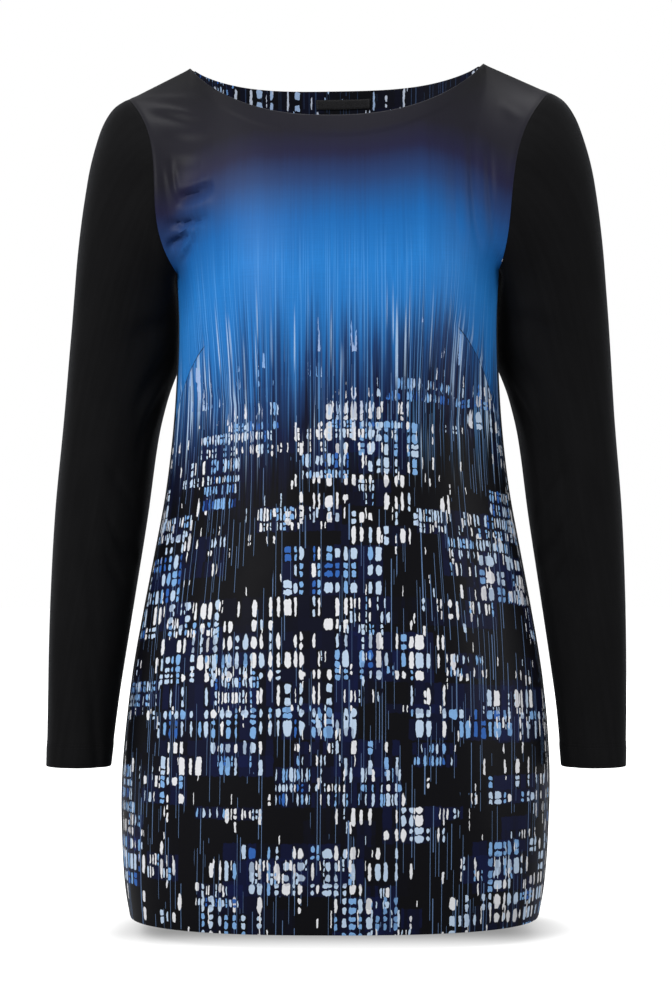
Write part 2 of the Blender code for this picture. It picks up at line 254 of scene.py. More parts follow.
def coarseSleeve(frontArmhole):
    turns = [i * math.pi / cut["armholeRows"] for i in range(2 * cut["armholeRows"])]
    bend = sleeveTop(frontArmhole, turns) - sleeveRing(0, turns)
    rings = []
    for i in range(cut["sleeveRows"] + 1):
        part = i / cut["sleeveRows"]
        left = max(1 - part / cut["armholeShapeEnds"], 0) ** 2  # of the armhole's shape
        rings.append(sleeveRing(part, turns) + left * bend)
    rings = np.array(rings)
    around = np.roll(rings, -1, axis=1) - np.roll(rings, 1, axis=1)
    through = -unit(np.cross(around, np.gradient(rings, axis=0)))
    for j, turn in enumerate(turns):
        towardBack = -1 if turn <= math.pi else 1
        through[0, j] = joined(through[0, j], min(turn, 2 * math.pi - turn), towardBack)
    return rings, through


def sleeveRing(part, turns):
    outer, inner = (np.array([along(sleeveRings, "part", side + name, part)
                              for name in ("X", "Y", "Drop")]) for side in ("outer", "inner"))
    halfDepth = along(sleeveRings, "part", "halfDepth", part)
    points = []
    for turn in turns:
        share = (1 - math.cos(turn)) / 2
        x, y, drop = (1 - share) * outer + share * inner
        points.append([x, y - halfDepth * math.sin(turn), -drop])
    return np.array(points)


def smoothThrough(points, places, closed=False, corners=(), cornerWeight=0):
    # a smooth curve through the points of axis 0, read at places between them
    if closed:
        slope = (np.roll(points, -1, axis=0) - np.roll(points, 1, axis=0)) / 2
        points, slopeIn = (np.concatenate([grid, grid[:1]]) for grid in (points, slope))
        slopeOut = slopeIn
    else:
        slope = np.gradient(points, axis=0)
        slopeIn, slopeOut = slope.copy(), slope.copy()
        for c in corners:
            slopeIn[c] += cornerWeight * (points[c] - points[c - 1] - slope[c])
            slopeOut[c] += cornerWeight * (points[c + 1] - points[c] - slope[c])
    k = np.minimum(np.floor(places).astype(int), len(points) - 2)
    t = (places - k).reshape(-1, *[1] * (points.ndim - 1))
    start = (1 + 2 * t) * points[k] + t * slopeOut[k]
    end = (3 - 2 * t) * points[k + 1] + (t - 1) * slopeIn[k + 1]
    return (1 - t) ** 2 * start + t**2 * end


def finePlaces(last, perCell=6, nearEdges=(0.03, 0.07, 0.12, 0.2, 0.33)):
    # even places between the coarse rows, and closer ones beside the edges for seams and rims
    places = set(np.round(np.linspace(0, last, last * perCell + 1), 6))
    for step in nearEdges:
        places |= {round(last - step, 6), round(step, 6)}
    return np.array(sorted(places))


def refined(grid, rowPlaces, columnPlaces, closed=False):
    # smooth along the rows first, then down the columns
    across = smoothThrough(grid.transpose(1, 0, 2), columnPlaces, closed)
    return smoothThrough(across.transpose(1, 0, 2), rowPlaces)


def asItHangs(points):
    x, drop = points[..., 0], -points[..., 2]
    span = hanging["tiltEnd"] - hanging["tiltStart"]
    tilt = hanging["tilt"] * (1 - ease((drop - hanging["tiltStart"]) / span))
    sway = np.interp(drop, hanging["drop"], hanging["sway"])
    aside = sway * ease((abs(x) - hanging["swayFrom"]) / hanging["swayWidth"])
    aside = aside + np.interp(drop, hanging["drop"], hanging["shift"])
    return points + np.stack([aside, 0 * x, tilt * x], axis=-1)


def creaseField(across, down, creases):
    # how deep soft troughs press in; each has two ends, a bow sideways, a width and a depth
    pressed = np.zeros(np.broadcast(across, down).shape)
    shoulders, spread = 0.4, 3.2  # cloth pushed up on both sides of a trough
    lopsided = 0.35  # the upper side of a slanting trough is steeper than the lower one
    for x0, d0, x1, d1, bow, width, depth in creases:
        length = math.hypot(x1 - x0, d1 - d0)
        rx, rd = (x1 - x0) / length, (d1 - d0) / length
        share = ((across - x0) * rx + (down - d0) * rd) / length
        side = (down - d0) * rx - (across - x0) * rd - 4 * bow * share * (1 - share)
        fade = np.sin(np.pi * np.clip(share, 0, 1)) ** 0.8
        widths = width * (1 + lopsided * abs(rx) * np.where(side * rx > 0, 1, -1))
        near = (side / widths) ** 2
        trough = np.exp(-near) - shoulders * np.exp(-near / spread)
        pressed += depth / (1 - shoulders) * fade * trough
    return pressed


def arcLengths(points, axis):
    # running length along the rows or columns, from their first point
    steps = np.linalg.norm(np.diff(points, axis=axis), axis=-1)
    start = np.zeros_like(np.take(steps, [0], axis=axis))
    return np.concatenate([start, np.cumsum(steps, axis=axis)], axis=axis)


def edgeDistances(outer):
    # cloth lengths from each edge, in mm
    acrossRun, downRun = arcLengths(outer, 1), arcLengths(outer, 0)
    return acrossRun, acrossRun[:, -1:] - acrossRun, downRun, downRun[-1:] - downRun


def clothShell(node, outer, inner, place, flat, materialPair, closed=False, outerShare=0.76):
    # two skins of one cloth, joined along their edges, in place of a CAD node
    # place: cloth coordinates in mm; flat: the same grid laid flat, 0..1 both ways
    rows, columns = outer.shape[:2]
    shift = rows * columns
    points = np.concatenate([asItHangs(outer), asItHangs(inner)]).reshape(-1, 3) * mm
    place = place * mm
    index = np.arange(shift).reshape(rows, columns)
    if closed:
        index, place, flat = (np.concatenate([grid, grid[:, :1]], axis=1)
                              for grid in (index, place, flat))
        place[:, -1, 0] = 2 * place[:, -2, 0] - place[:, -3, 0]
        flat[:, -1, 0] = 1
    margin = 0.01
    outerFlat = flat * [outerShare - 2 * margin, 1 - 2 * margin] + margin
    innerFlat = flat * [1 - outerShare - 2 * margin, 1 - 2 * margin] + [outerShare + margin, margin]
    facesAcross = index.shape[1] - 1
    i, j = (cells.ravel() for cells in
            np.meshgrid(np.arange(rows - 1), np.arange(facesAcross), indexing="ij"))
    faces, places, flats, slots = [], [], [], []

    run = np.cross(outer[0, 1] - outer[0, 0], outer[1, 0] - outer[0, 0])
    facesOut = np.dot(run, outer[0, 0] - inner[0, 0]) > 0
    outerOrder = [0, 1, 2, 3] if facesOut else [0, 3, 2, 1]
    for grid, uv, order, materialSlot in ((index, outerFlat, outerOrder, 0),
                                          (index + shift, innerFlat, outerOrder[::-1], 1)):
        for layer, values in ((faces, grid), (places, place), (flats, uv)):
            corners = (values[i, j], values[i, j + 1], values[i + 1, j + 1], values[i + 1, j])
            layer.append(np.stack(corners, axis=1)[:, order])
        slots.append(np.full(len(i), materialSlot))

    def rim(a, b, isFirst):
        # joins the two skins between two grid places on an edge
        order = [0, 1, 2, 3] if isFirst != facesOut else [3, 2, 1, 0]
        ends = (index[a], index[b], index[b] + shift, index[a] + shift)
        faces.append(np.array([[ends[k] for k in order]]))
        for layer, values in ((places, place), (flats, outerFlat)):
            ends = (values[a], values[b], values[b], values[a])
            layer.append(np.array([[ends[k] for k in order]]))
        slots.append(np.array([0]))

    for c in range(facesAcross):
        rim((0, c), (0, c + 1), True)
        rim((rows - 1, c), (rows - 1, c + 1), False)
    for r in range(0 if closed else rows - 1):
        rim((r, 0), (r + 1, 0), False)
        rim((r, facesAcross), (r + 1, facesAcross), True)
    name = node + "_cloth"
    mesh = bpy.data.meshes.new(name)
    mesh.from_pydata(points.tolist(), [], np.concatenate(faces).tolist())
    for layer, values in (("OFBake", flats), ("clothPlace", places)):
        uv = mesh.uv_layers.new(name=layer)
        uv.data.foreach_set("uv", np.concatenate(values).reshape(-1).astype(np.float32))
    mesh.polygons.foreach_set("material_index", np.concatenate(slots).astype(np.int32))
    for material in materialPair:
        mesh.materials.append(material)
    mesh.shade_smooth()
    mesh.set_sharp_from_angle(angle=math.radians(55))
    mesh.update()
    piece = bpy.data.objects.new(name, mesh)
    bpy.context.scene.collection.objects.link(piece)
    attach(piece, "root")
    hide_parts(node)
    return piece


# materials
def srgb(*colour):
    shares = [c / 255 for c in colour]
    return (*(c / 12.92 if c <= 0.04045 else ((c + 0.055) / 1.055) ** 2.4 for c in shares), 1)


class Signal:
    # a value that changes over the cloth; plain arithmetic on it adds math nodes to its tree
    def __init__(self, socket):
        self.socket, self.tree = socket, socket.id_data

    def math(self, operation, *others):
        values = dict(enumerate((self, *others)))
        return Signal(put(self.tree, "ShaderNodeMath", values, operation=operation).outputs[0])

    def __add__(self, other):
        return self.math("ADD", other)

    def __sub__(self, other):
        return self.math("SUBTRACT", other)

    def __rsub__(self, other):
        return self * -1 + other

    def __mul__(self, other):
        return self.math("MULTIPLY", other)

    def __truediv__(self, other):
        return self.math("DIVIDE", other)

    def __pow__(self, other):
        return self.math("POWER", other)

    def __abs__(self):
        return self.math("ABSOLUTE")


def join(value, socket):
    if isinstance(value, Signal):
        value.tree.links.new(value.socket, socket)
    else:
        socket.default_value = value


def put(tree, kind, values=None, **settings):
    made = tree.nodes.new(kind)
    for key, value in settings.items():
        setattr(made, key, value)
    for key, value in (values or {}).items():
        join(value, made.inputs[key])
    return made


def signals(made):
    return {socket.name: Signal(socket) for socket in made.outputs if socket.name}


def between(value, low, high, toLow=0.0, toHigh=1.0, smooth=True):
    values = {"Value": value, "From Min": low, "From Max": high, "To Min": toLow, "To Max": toHigh}
    kind = "SMOOTHSTEP" if smooth else "LINEAR"
    made = put(value.tree, "ShaderNodeMapRange", values, interpolation_type=kind)
    return Signal(made.outputs["Result"])


def choose(share, a, b):
    return Signal(put(share.tree, "ShaderNodeMix", {"Factor": share, 2: a, 3: b}).outputs[0])


def mixed(share, a, b, blend="MIX"):
    tree = next(value.tree for value in (share, a, b) if isinstance(value, Signal))
    made = put(tree, "ShaderNodeMix", {"Factor": share}, data_type="RGBA", blend_type=blend)
    join(a, made.inputs[6])
    join(b, made.inputs[7])
    return Signal(made.outputs[2])


def ramp(value, stops, blend="LINEAR"):
    made = put(value.tree, "ShaderNodeValToRGB", {"Fac": value})
    elements = made.color_ramp.elements
    made.color_ramp.interpolation = blend
    while len(elements) < len(stops):
        elements.new(1)
    for element, (position, colour) in zip(elements, stops):
        element.position = position
        element.color = srgb(*colour)
    return Signal(made.outputs["Color"])


def splitXY(vector):
    parts = signals(put(vector.tree, "ShaderNodeSeparateXYZ", {"Vector": vector}))
    return parts["X"], parts["Y"]


def joinXY(x, y, z=0.0):
    return Signal(put(x.tree, "ShaderNodeCombineXYZ", {"X": x, "Y": y, "Z": z}).outputs["Vector"])


def channels(colour):
    return signals(put(colour.tree, "ShaderNodeSeparateColor", {"Color": colour}))


def noiseNode(x, y, detail):
    values = {"Vector": joinXY(x, y), "Scale": 1.0, "Detail": detail, "Roughness": 0.5}
    return put(x.tree, "ShaderNodeTexNoise", values, noise_dimensions="2D")


def noise(x, y, detail=2.0):
    return Signal(noiseNode(x, y, detail).outputs[0])


def dice(x, y, z=0.0):
    rolled = signals(put(x.tree, "ShaderNodeTexWhiteNoise", {"Vector": joinXY(x, y, z)},
                         noise_dimensions="3D"))
    return rolled["Value"], channels(rolled["Color"])


def newGroup(name, inputs, outputs):
    tree = bpy.data.node_groups.new(name, "ShaderNodeTree")
    for sockets, side in ((inputs, "INPUT"), (outputs, "OUTPUT")):
        for socket, kind in sockets.items():
            tree.interface.new_socket(socket, in_out=side, socket_type="NodeSocket" + kind)
    given = signals(put(tree, "NodeGroupInput"))
    return tree, given, put(tree, "NodeGroupOutput").inputs


def useGroup(group, values):
    return signals(put(values["Place"].tree, "ShaderNodeGroup", values, node_tree=group))


dashPrint = {
    # drop in mm and colour of the ground
    "ground": [
        (0, (36, 36, 38)), (60, (36, 35, 44)), (84, (38, 38, 67)), (110, (42, 70, 122)),
        (146, (33, 110, 187)), (188, (44, 134, 217)), (220, (43, 126, 206)), (262, (35, 68, 120)),
        (300, (22, 27, 54)), (352, (16, 16, 20)), (1100, (16, 16, 20)),
    ],
    "marks": [(0, (250, 251, 255)), (0.62, (206, 228, 253)), (0.75, (140, 189, 243)),
              (0.85, (60, 112, 196)), (0.93, (30, 48, 108))],
    "coarse": {"column": 7.4, "row": 15.5, "seed": 3.0, "columnsInPatch": 7.0, "rowsInPatch": 2.4,
               "emptyBelow": 0.3, "fullAbove": 0.8},
    "fine": {"column": 3.3, "row": 11.5, "seed": 11.0, "columnsInPatch": 11.0, "rowsInPatch": 2.0,
             "emptyBelow": 0.58, "fullAbove": 0.92},
    # what lies over the ground: colour and strength, and where in mm of drop it begins and ends
    "streaks": {"colour": (112, 180, 250), "strength": 0.55,
                "begin": (150, 250), "end": (300, 385)},
    "tufts": {"colour": (188, 218, 252), "strength": 0.85,
              "begin": (205, 265), "end": (330, 400)},
    "hair": {"colour": (140, 180, 236), "strength": 0.8, "apart": 2.7, "seed": 23.0, "run": 41},
    "glow": {"colour": (24, 36, 92), "strength": 0.35},
    "risen": {"colour": (84, 158, 240), "strength": 0.62, "drops": (262, 326)},
    "thick": {"begin": (300, 345), "end": (385, 450), "more": 0.5},
    "begun": (235, 320),
    # mm that the bright band reaches lower at the left
    "lower": {"most": 50, "sides": (-95, 75), "drops": (195, 335), "ofMarks": 0.4},
    "ink": {"aside": 1.6, "down": 2.8},
}


def unevenCells(distance, size, seed):
    # number of the cell, the place inside it, and how far that is from its middle, 0 to 1
    scaled = distance / size + seed * 7
    values = {"W": scaled * 0.8, "Scale": 1.0, "Detail": 0.0}
    waver = put(distance.tree, "ShaderNodeTexNoise", values, noise_dimensions="1D")
    place = Signal(waver.outputs[0]) * 0.75 + scaled
    return place.math("FLOOR"), place, abs(place.math("FRACT") - 0.5) * 2


def stretches(number, length, shift):
    # one colour for each uneven run of cells
    values = {"W": number / length + shift, "Scale": 1.0, "Randomness": 0.9}
    found = put(number.tree, "ShaderNodeTexVoronoi", values, voronoi_dimensions="1D")
    return channels(Signal(found.outputs["Color"]))["Red"]


def markLayer(u, v, risen, begun, filled, settings):
    # rows and columns of rounded marks, thick in some patches and missing in others
    seed = settings["seed"]
    column, _, x = unevenCells(u, settings["column"], seed)
    row, rowPlace, _ = unevenCells(v, settings["row"], seed + 1)
    band = stretches(row, settings["rowsInPatch"], seed)
    strip = stretches(column, settings["columnsInPatch"], band * 61)
    fill, patch = dice(strip, band, seed)
    rowDice, _ = dice(row, seed)
    columnDice, _ = dice(column, band, seed)
    ownDice, own = dice(column, row, seed)

    thick = dashPrint["thick"]
    often = between(fill, settings["emptyBelow"], settings["fullAbove"], 0.05, 1)
    often = often * between(rowDice, 0, 0.55, 0.5, 1) * between(columnDice, 0, 0.5, 0.55, 1)
    often = often * (filled * between(risen, 0, 1, 1, 0.62))
    thickBand = between(v, *thick["begin"]) * between(v, *thick["end"], 1, 0)
    often = often * (thickBand * thick["more"] + 1) * begun
    there = often.math("GREATER_THAN", choose(risen, ownDice, columnDice))

    # some patches split each mark into two or three dots
    parts = (own["Blue"] * 1.2 + (patch["Blue"] * 0.9 + 0.7)).math("FLOOR")
    y = abs((rowPlace * parts).math("FRACT") - 0.5) * 2
    wide = own["Red"] * 0.46 + 0.34
    tall = own["Green"] * 0.3 + 0.6
    roundness = patch["Green"] * 3.0 + 2.0
    down = (y / tall) ** roundness * (1 - risen)
    shape = between((x / wide) ** roundness + down, 0.8, 1.15, 1, 0)
    tint = patch["Red"] * 0.5 + own["Blue"] * 0.3 + rowDice * 0.2
    glow = between(patch["Red"], 0.55, 0.8) * between(own["Red"], 0, 1, 0.1, 1)
    return shape * there, tint, glow


def hairLines(u, v):
    # thin lines that run straight down through a few rows, in loose clusters
    hair = dashPrint["hair"]
    column, _, x = unevenCells(u, hair["apart"], hair["seed"])
    columnDice, _ = dice(column, hair["seed"])
    run = (columnDice * 5 + v / hair["run"]).math("FLOOR")
    chance, own = dice(column, run, 5.0)
    there = (chance + noise(u / 21, v / 80, detail=1)).math("GREATER_THAN", 1.24)
    return between(x, 0.06, 0.26, 1, 0) * there * between(own["Red"], 0, 1, 0.08, 0.75)


def buildDashPrint():
    # bright band that runs down in fine streaks into rows of small rounded marks
    tree, given, out = newGroup("dashPrint", {"Place": "Vector", "Fill": "Float"},
                                {"Color": "Color", "Marks": "Float"})
    u, v = splitXY(given["Place"])
    streaks, tufts, lower, ink = (dashPrint[name] for name in ("streaks", "tufts", "lower", "ink"))

    reach = between(v, 100, 300, 4, 84)
    wander = (noise(u / 15, v / 300) - 0.5) * 0.9 + (noise(u / 2.3, v / 170) - 0.5)
    level = wander * reach + v - between(u, 15, 85, 9, 0)
    lowered = between(u, *lower["sides"], lower["most"], 0, smooth=False)
    lowered = lowered * between(v, *lower["drops"])
    markLevel = lowered * -lower["ofMarks"] + level
    last = dashPrint["ground"][-1][0]
    stops = [(drop / last, colour) for drop, colour in dashPrint["ground"]]
    ground = ramp((level - lowered) / last, stops)

    streak = between(noise(u / 1.6, v / 260, detail=1), 0.55, 0.7)
    tuft = between(noise(u / 2.6, v / 190, detail=0), 0.66, 0.74)
    tuft = tuft * between(noise(u / 34, v / 130, detail=1), 0.42, 0.58)
    for lines, settings in ((streak, streaks), (tuft, tufts)):
        lines = lines * between(v, *settings["begin"]) * between(v, *settings["end"], 1, 0)
        ground = mixed(lines * settings["strength"], ground, srgb(*settings["colour"]))

    # inky edges: the marks lean and swell a little
    drift = channels(Signal(noiseNode(u / 3.0, v / 5.0, 1.0).outputs["Color"]))
    uInk = (drift["Red"] - 0.5) * ink["aside"] + u
    vInk = (drift["Green"] - 0.5) * ink["down"] + v
    risen = between(markLevel, *dashPrint["risen"]["drops"], 1, 0)
    begun = between(markLevel, *dashPrint["begun"])
    often = given["Fill"] ** 4
    inked = None

    def over(share, name, colour):
        return mixed(share * dashPrint[name]["strength"], colour, srgb(*dashPrint[name]["colour"]))

    printed = over(hairLines(u, v) * (begun * often), "hair", ground)
    for name in ("coarse", "fine"):
        marks, tint, glow = markLayer(uInk, vInk, risen, begun, given["Fill"], dashPrint[name])
        printed = over(glow * begun * often, "glow", printed)
        colour = over(risen, "risen", ramp(tint, dashPrint["marks"], "CONSTANT"))
        printed = mixed(marks, printed, colour)
        inked = marks if inked is None else inked.math("MAXIMUM", marks)
    join(printed, out["Color"])
    join(inked, out["Marks"])
    return tree


def buildFineWeave():
    # crossing threads, as a height and a slight change of tone
    inputs = {"Place": "Vector", "Across": "Float", "Down": "Float"}
    tree, given, out = newGroup("fineWeave", inputs, {"Height": "Float", "Tone": "Float"})
    x, y = splitXY(given["Place"])
    warp = (x / given["Across"] * (2 * math.pi)).math("SINE")
    weft = (y / given["Down"] * (2 * math.pi)).math("SINE")
    slubs = noise(x / 0.8, y / 40) + noise(x / 30, y / 0.7)
    join((warp + weft) * 0.25 + slubs * 0.6, out["Height"])
    join(between(slubs, 0.7, 1.3, 0.965, 1.035, smooth=False), out["Tone"])
    return tree


def newMaterial(name, roughness, specular, sheen=0.0, sheenRoughness=0.5, sheenTint=(1, 1, 1, 1)):
    material = bpy.data.materials.new(name)
    material.use_nodes = True
    shader = material.node_tree.nodes["Principled BSDF"]
    finish = {"Roughness": roughness, "Specular IOR Level": specular, "Sheen Weight": sheen,
              "Sheen Roughness": sheenRoughness, "Sheen Tint": sheenTint}
    for key, value in finish.items():
        shader.inputs[key].default_value = value
    # the cloth's own coordinates, in mm
    metres = Signal(put(material.node_tree, "ShaderNodeUVMap", uv_map="clothPlace").outputs["UV"])
    scaled = put(metres.tree, "ShaderNodeVectorMath", {0: metres, 1: (1000, 1000, 1000)},
                 operation="MULTIPLY")
    return material, shader, Signal(scaled.outputs[0])


def toned(colour, tone):
    grey = put(tone.tree, "ShaderNodeCombineColor", {"Red": tone, "Green": tone, "Blue": tone})
    return mixed(1.0, colour, Signal(grey.outputs["Color"]), blend="MULTIPLY")


def bumped(shader, height, strength, distance):
    values = {"Height": height, "Strength": strength, "Distance": distance * mm}
    made = put(height.tree, "ShaderNodeBump", values)
    join(Signal(made.outputs["Normal"]), shader.inputs["Normal"])


printGroup = buildDashPrint()
weaveGroup = buildFineWeave()

darts = {
    "left": {"side": -1, "tip": 128.0, "tipDrop": 262.0, "slope": 0.62, "curve": 0.008,
             "hang": 24.0, "edgeHang": 26.0},
    "right": {"side": 1, "tip": 116.0, "tipDrop": 249.0, "slope": 0.62, "curve": 0.010,
              "hang": 24.0, "edgeHang": 16.0},
}
# mm from the centre line, and drops, between which the spare cloth above the darts grows or ends
spareCloth = {
    "hang": (72, 157), "edgeHang": (128, 168), "hangDrops": (15, 130), "besideDart": (245, 345),
    "leanMost": 13, "lean": (45, 120), "leanDrops": (190, 330), "leanBesideDart": (345, 560),
}


def dartLine(dart, across):
    run = np.maximum(dart["side"] * across - dart["tip"], 0)
    return dart["tipDrop"] + dart["slope"] * run + dart["curve"] * run**2


def dartedPlace(place):
    # the cloth hangs lower at the sides down to the darts, which take up what is spare
    u, v = splitXY(place)
    atRight = u.math("GREATER_THAN", 0)
    own = {key: between(atRight, 0, 1, darts["left"][key], darts["right"][key], smooth=False)
           for key in ("tip", "tipDrop", "slope", "curve", "hang", "edgeHang")}
    side = abs(u)
    run = (side - own["tip"]).math("MAXIMUM", 0)
    past = v - (run * (run * own["curve"] + own["slope"]) + own["tipDrop"])
    aboveDart = between(past, -0.3, 0.3, 1, 0)
    hang = own["hang"] * between(side, *spareCloth["hang"])
    hang = hang + own["edgeHang"] * between(side, *spareCloth["edgeHang"])
    hang = hang * between(v, *spareCloth["hangDrops"])
    above = choose(between(run, 0, 22), between(v, *spareCloth["besideDart"], 1, 0), aboveDart)
    lean = choose(between(run, 0, 60), between(v, *spareCloth["leanBesideDart"], 1, 0), aboveDart)
    lean = lean * between(side, *spareCloth["lean"], 0, spareCloth["leanMost"])
    lean = lean * between(v, *spareCloth["leanDrops"])
    sewn = between(abs(past), 0.3, 1.3, 1, 0) * between(run, 0, 6)
    return joinXY(lean * (atRight * 2 - 1) + u, v - hang * above), sewn


satin = {
    "across": 0.55, "down": 0.5, "roughness": 0.42, "markRoughness": 0.08, "depth": 0.9,
    "dartSeam": (16, 20, 40), "reverseTint": (60, 66, 84),
    # the facing's print is multiplied by a bluish grey as painted shade
    "facingShade": (214, 224, 240), "facingFill": 0.76, "facingPlace": (31, 566, 0),
}


def printAndWeave(place, printPlace, fill=1.0):
    printed = useGroup(printGroup, {"Place": printPlace, "Fill": fill})
    threads = {"Place": place, "Across": satin["across"], "Down": satin["down"]}
    return printed, useGroup(weaveGroup, threads)


def buildSatin():
    material, shader, place = newMaterial("printedSatin", 0.46, 0.08)
    darted, seamLine = dartedPlace(place)
    printed, weave = printAndWeave(place, darted)
    colour = mixed(seamLine * 0.8, printed["Color"], srgb(*satin["dartSeam"]))
    join(toned(colour, weave["Tone"] * satin["depth"]), shader.inputs["Base Color"])
    rough = printed["Marks"] * satin["markRoughness"] + satin["roughness"]
    join(rough, shader.inputs["Roughness"])
    bumped(shader, weave["Height"], 0.16, 0.1)
    return material


def buildSatinReverse():
    material, shader, place = newMaterial("satinReverse", 0.8, 0.15)
    printed, weave = printAndWeave(place, dartedPlace(place)[0])
    dull = mixed(0.45, printed["Color"], srgb(*satin["reverseTint"]))
    join(toned(dull, weave["Tone"]), shader.inputs["Base Color"])
    bumped(shader, weave["Height"], 0.3, 0.12)
    return material


def buildFacingPrint():
    material, shader, place = newMaterial("facingPrint", 0.6, 0.12)
    shifted = put(place.tree, "ShaderNodeVectorMath", {0: place, 1: satin["facingPlace"]},
                  operation="ADD")
    printed, weave = printAndWeave(place, Signal(shifted.outputs[0]), satin["facingFill"])
    # painted shade: the facing's print is dimmed and tinted blue, as if in the shadow inside the
    # back neck
    dull = mixed(1.0, printed["Color"], srgb(*satin["facingShade"]), blend="MULTIPLY")
    join(toned(dull, weave["Tone"]), shader.inputs["Base Color"])
    bumped(shader, weave["Height"], 0.25, 0.12)
    return material


jersey = {"face": (19, 19, 20), "reverse": (21, 21, 22), "sheenTint": (232, 236, 245),
          "course": 0.55, "wale": 0.5,
          "stitchRows": (18.5, 21.5), "stitchLength": 2.9, "thread": 0.55}


def buildHemStitches():
    # two rows of stitches above the edge: a mask over the threads, and the dents along them; the
    # jersey also uses them to paint a sheen on the threads and shade in the dents
    tree, given, out = newGroup("hemStitches", {"Place": "Vector"},
                                {"ThreadAndSheen": "Float", "DentAndShade": "Float"})
    x, y = splitXY(given["Place"])
    fromHem = noise(x / 14, 0.0, detail=1) * 0.5 + y * -1
    apart = [abs(fromHem - row) for row in jersey["stitchRows"]]
    nearest = apart[0].math("MINIMUM", apart[1])
    fromMiddle = abs((x / jersey["stitchLength"]).math("FRACT") - 0.5)
    row = between(nearest, jersey["thread"] * 0.4, jersey["thread"] * 0.8, 1, 0)
    join(row * between(fromMiddle, 0.36, 0.44, 1, 0), out["ThreadAndSheen"])
    join(between(nearest, 0.3, 1.6, 1, 0), out["DentAndShade"])
    return tree


stitchGroup = buildHemStitches()


def buildJersey(name, colour):
    material, shader, place = newMaterial(name, 0.92, 0.06, 0.12, 0.32, srgb(*jersey["sheenTint"]))
    x, y = splitXY(place)
    wales = (x * (2 * math.pi / jersey["wale"])).math("SINE")
    courses = (y * (2 * math.pi / jersey["course"])).math("SINE")
    fibre = noise(x / 0.9, y / 6, detail=3)
    uneven = fibre + noise(x / 35, y / 60) + noise(x / 5, y / 190)
    tone = between(uneven, 1.1, 1.9, 0.84, 1.2, smooth=False)
    stitches = useGroup(stitchGroup, {"Place": place})
    # painted light: the threads are lightened as a painted sheen, and the dents are darkened as
    # painted shade
    tone = tone * (stitches["ThreadAndSheen"] * 0.9 + 1) * (stitches["DentAndShade"] * -0.25 + 1)
    join(toned(srgb(*colour), tone), shader.inputs["Base Color"])
    join(between(fibre, 0.3, 0.7, 0.86, 0.96, smooth=False), shader.inputs["Roughness"])
    height = courses * 0.35 + wales + fibre * 1.4 + stitches["DentAndShade"] * -5
    bumped(shader, stitches["ThreadAndSheen"] * 4 + height, 0.3, 0.1)
    return material


# the label inside the back neck, in mm
label = {"centre": 7, "width": 54, "top": 8.5, "height": 10, "cellsAcross": 36, "cellsDown": 10,
         "rimRound": 0.25, "rimWidth": 0.7, "lift": 0.5, "colour": (29, 29, 31),
         "sheenTint": (200, 200, 205), "stitchInset": 1.6, "stitchLength": 2.2}


def buildLabelWeave():
    # bare tape with a faint shimmer, painted into its colour as bright flecks, sewn down by short
    # stitches across its ends
    sheenTint = srgb(*label["sheenTint"])
    material, shader, place = newMaterial("labelWeave", 0.5, 0.25, 0.1, 0.4, sheenTint)
    x, y = splitXY(place)
    weave = useGroup(weaveGroup, {"Place": place, "Across": 0.5, "Down": 0.9})
    # painted shimmer: patches where the tape's colour is lightened as if catching light
    paintedShimmer = noise(x / 1.8, y / 0.5, detail=3)
    toEnd = label["width"] / 2 - abs(x - label["width"] / 2)
    row = between(abs(toEnd - label["stitchInset"]), 0.25, 0.5, 1, 0)
    fromMiddle = abs((y / label["stitchLength"]).math("FRACT") - 0.5)
    stitch = row * between(fromMiddle, 0.34, 0.42, 1, 0)
    tone = weave["Tone"] * between(paintedShimmer, 0.42, 0.68, 0.75, 2.1) + stitch * 1.6
    join(toned(srgb(*label["colour"]), tone), shader.inputs["Base Color"])
    bumped(shader, stitch * 3 + weave["Height"], 0.5, 0.2)
    return material


# face and reverse of each cloth
materials = {
    "satin": (buildSatin(), buildSatinReverse()),
    "facing": (buildFacingPrint(),) * 2,
    "jersey": (buildJersey("blackJersey", jersey["face"]),
               buildJersey("jerseyReverse", jersey["reverse"])),
    "label": (buildLabelWeave(),) * 2,
}
print("materials made")

